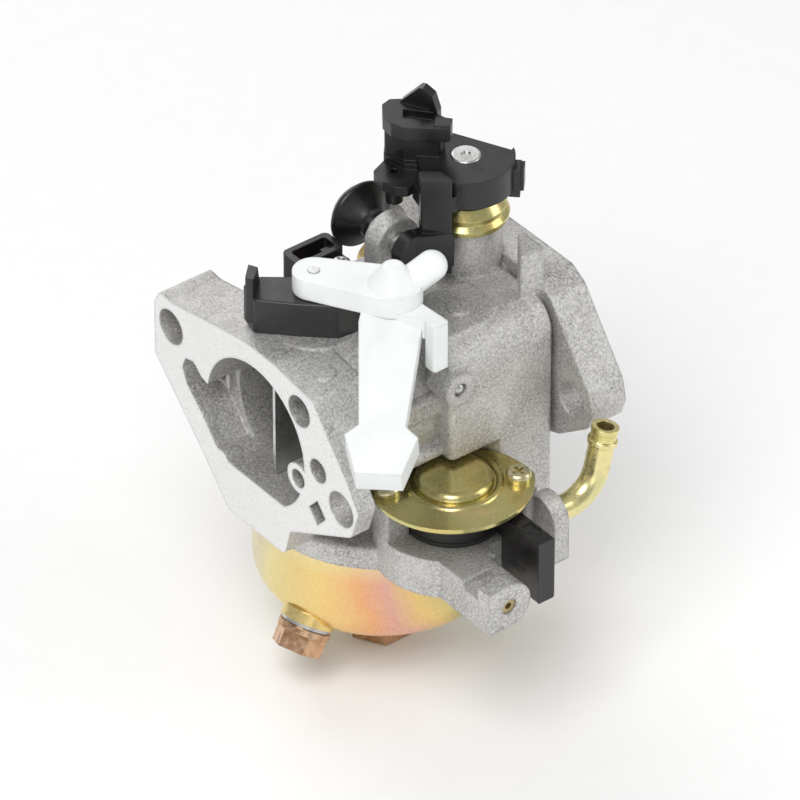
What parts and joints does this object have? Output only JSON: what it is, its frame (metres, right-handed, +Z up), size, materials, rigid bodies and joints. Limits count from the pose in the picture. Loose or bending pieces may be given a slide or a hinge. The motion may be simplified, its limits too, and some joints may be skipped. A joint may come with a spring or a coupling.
{
  "type": "carburetor",
  "caption": "float-bowl carburetor of a small petrol engine, with moulded choke and throttle levers and its own manual fuel valve",
  "frame": {"origin": "midway between the two stud holes, on the face that meets the engine", "axes": "+X into the engine along the bore, -Y the operator's side with the fuel valve, +Z up"},
  "size_m": [0.0759, 0.0922, 0.1304],
  "materials": {
    "cast_aluminium": "raw gravity casting, machined faces",
    "black_plastic": "moulded, satin",
    "white_plastic": "moulded, satin",
    "yellow_zinc": "yellow passivated zinc on pressed steel",
    "steel": "plated",
    "brass": "turned",
    "rubber": "moulded"
  },
  "bodies": {
    "carburetor": {"carburetor_body": "cast_aluminium", "throttle_shaft_seal": "rubber", "mixture_screw_spring": "steel", "pilot_jet_holder": "black_plastic", "pilot_jet": "brass", "holder_screw": "steel", "choke_bracket": "black_plastic", "float_bowl": "yellow_zinc", "drain_bolt": "yellow_zinc", "drain_washer": "steel", "bowl_bolt": "yellow_zinc", "bowl_bolt_washer": "steel", "bowl_gasket": "rubber", "float_pin": "steel", "needle_seat": "brass", "main_nozzle": "brass", "main_jet": "brass", "valve_gasket": "rubber", "valve_wave_spring": "steel", "valve_plate": "yellow_zinc", "valve_plate_screws": "yellow_zinc", "fuel_inlet_pipe": "yellow_zinc", "passage_ball_plug": "steel", "arm_plug": "brass"},
    "throttle": {"throttle_shaft": "steel", "throttle_plate": "brass", "throttle_plate_screws": "steel", "throttle_lever": "black_plastic", "throttle_dust_cap": "yellow_zinc"},
    "choke": {"choke_shaft": "steel", "choke_plate": "steel", "choke_plate_screws": "steel", "choke_lever": "white_plastic"},
    "fuel_valve": {"fuel_valve_lever": "black_plastic"},
    "idle_screw": {"idle_speed_screw": "steel", "idle_screw_knob": "black_plastic"},
    "mixture": {"mixture_screw": "brass"},
    "float_body": {"float": "black_plastic"},
    "needle": {"float_needle": "brass"}
  },
  "joints": [
    {"name": "throttle_turn", "type": "hinge", "parent": "carburetor", "child": "throttle", "pos_m": [-0.015, 0, 0.03], "axis": [0, 0, 1], "range_deg": [0, 72]},
    {"name": "choke_turn", "type": "hinge", "parent": "carburetor", "child": "choke", "pos_m": [-0.056, 0, 0.02], "axis": [0, 0, -1], "range_deg": [0, 75]},
    {"name": "fuel_valve_turn", "type": "hinge", "parent": "carburetor", "child": "fuel_valve", "pos_m": [-0.04, -0.0275, -0.02], "axis": [0, 0, 1], "range_deg": [-4, 18]},
    {"name": "idle_screw_turn", "type": "hinge", "parent": "carburetor", "child": "idle_screw", "pos_m": [-0.032, 0.01, 0.0274], "axis": [0, 1, 0], "range_deg": [-180, 180]},
    {"name": "mixture_screw_turn", "type": "hinge", "parent": "carburetor", "child": "mixture", "pos_m": [-0.018, 0.022, 0.002], "axis": [0, 1, 0], "range_deg": [-180, 180]},
    {"name": "float_swing", "type": "hinge", "parent": "carburetor", "child": "float_body", "pos_m": [-0.0146, 0, -0.0385], "axis": [0, -1, 0], "range_deg": [0, 4]},
    {"name": "needle_slide", "type": "slide", "parent": "carburetor", "child": "needle", "axis": [0, 0, -1], "range_m": [0, 0.0004]}
  ],
  "couplings": [
    {"joint": "needle_slide", "follows": "float_swing", "m_per_rad": 0.0056}
  ]
}
